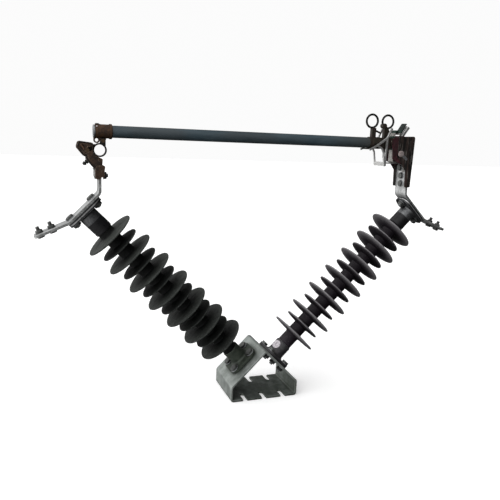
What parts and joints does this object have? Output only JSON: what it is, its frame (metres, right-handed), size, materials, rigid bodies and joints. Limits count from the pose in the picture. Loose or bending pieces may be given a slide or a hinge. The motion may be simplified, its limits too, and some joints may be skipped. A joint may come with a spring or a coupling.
{
  "type": "drop-out fuse",
  "caption": "V-pattern drop-out fuse: a swinging fuse tube between two shed insulators on a folded bracket.",
  "frame": {"origin": "centre of the base plate's underside, where the bracket lies on its crossarm", "axes": "+X along the fuse tube from the hinge end to the contact end, +Y along the crossarm, +Z away from the crossarm"},
  "size_m": [1.2046, 0.145, 0.8113],
  "materials": {
    "galvanised_bracket": "dull hot-dip galvanised",
    "galvanised_bolts": "zinc plated, weathered",
    "tinned_arm": "tinned copper bar, satin",
    "silicone_grey_green": "matt silicone rubber",
    "silicone_grey_violet": "matt silicone rubber",
    "cast_green": "dull casting",
    "cast_dark": "dull casting",
    "fitting_steel": "grey forged steel",
    "pale_plug": "pale grey",
    "bronze_brown": "dark brown cast bronze",
    "bronze_pin": "turned bronze",
    "blackened_steel": "blackened",
    "spring_steel": "bright zinc",
    "tube_glass_fibre": "slate blue painted glass-fibre tube",
    "casting_olive": "olive black casting",
    "contact_silver": "silvered contact",
    "contact_green": "tarnished spring copper",
    "fibre_maroon": "maroon vulcanised fibre"
  },
  "bodies": {
    "frame": {"mounting_bracket": "galvanised_bracket", "hinge_insulator": "silicone_grey_green", "hinge_lower_fitting": "cast_green", "hinge_upper_fitting": "fitting_steel", "contact_insulator": "silicone_grey_violet", "contact_lower_fitting": "cast_dark", "contact_upper_fitting": "fitting_steel", "hinge_base_bolts": "galvanised_bolts", "contact_base_bolts": "galvanised_bolts", "fitting_plug": "pale_plug", "hinge_arm": "tinned_arm", "contact_arm": "tinned_arm", "hinge_flange_bolts": "galvanised_bolts", "contact_flange_bolts": "galvanised_bolts", "hinge_terminal_bolts": "galvanised_bolts", "contact_terminal_bolts": "galvanised_bolts", "hinge_casting": "bronze_brown", "hinge_clamp_bolt": "blackened_steel", "hinge_leaf_spring": "spring_steel", "link_stud": "blackened_steel", "contact_channel": "blackened_steel", "channel_bolts": "galvanised_bolts", "contact_strip": "contact_green", "contact_spring": "spring_steel", "chute_front_plate": "fibre_maroon", "chute_back_plate": "fibre_maroon", "chute_block": "fibre_maroon", "chute_bolt": "galvanised_bolts", "load_break_hooks": "spring_steel"},
    "trunnion": {"trunnion_casting": "bronze_brown", "trunnion_pins": "bronze_pin", "toggle_pin": "bronze_pin"},
    "fuse_holder": {"lower_ferrule": "bronze_brown", "ferrule_bolt": "galvanised_bolts", "fuse_tube": "tube_glass_fibre", "upper_casting": "casting_olive", "pull_ring": "blackened_steel", "lift_ring": "blackened_steel", "contact_cap": "contact_silver"}
  },
  "joints": [
    {"name": "drop_out", "type": "hinge", "parent": "frame", "child": "trunnion", "pos_m": [-0.474, 0, 0.683], "axis": [0, -1, 0], "range_deg": [0, 165]},
    {"name": "toggle_knee", "type": "hinge", "parent": "trunnion", "child": "fuse_holder", "pos_m": [-0.4355, 0, 0.7065], "axis": [0, -1, 0], "range_deg": [-17, 0]}
  ],
  "couplings": [
    {"joint": "toggle_knee", "follows": "drop_out", "ratio": -0.1}
  ]
}
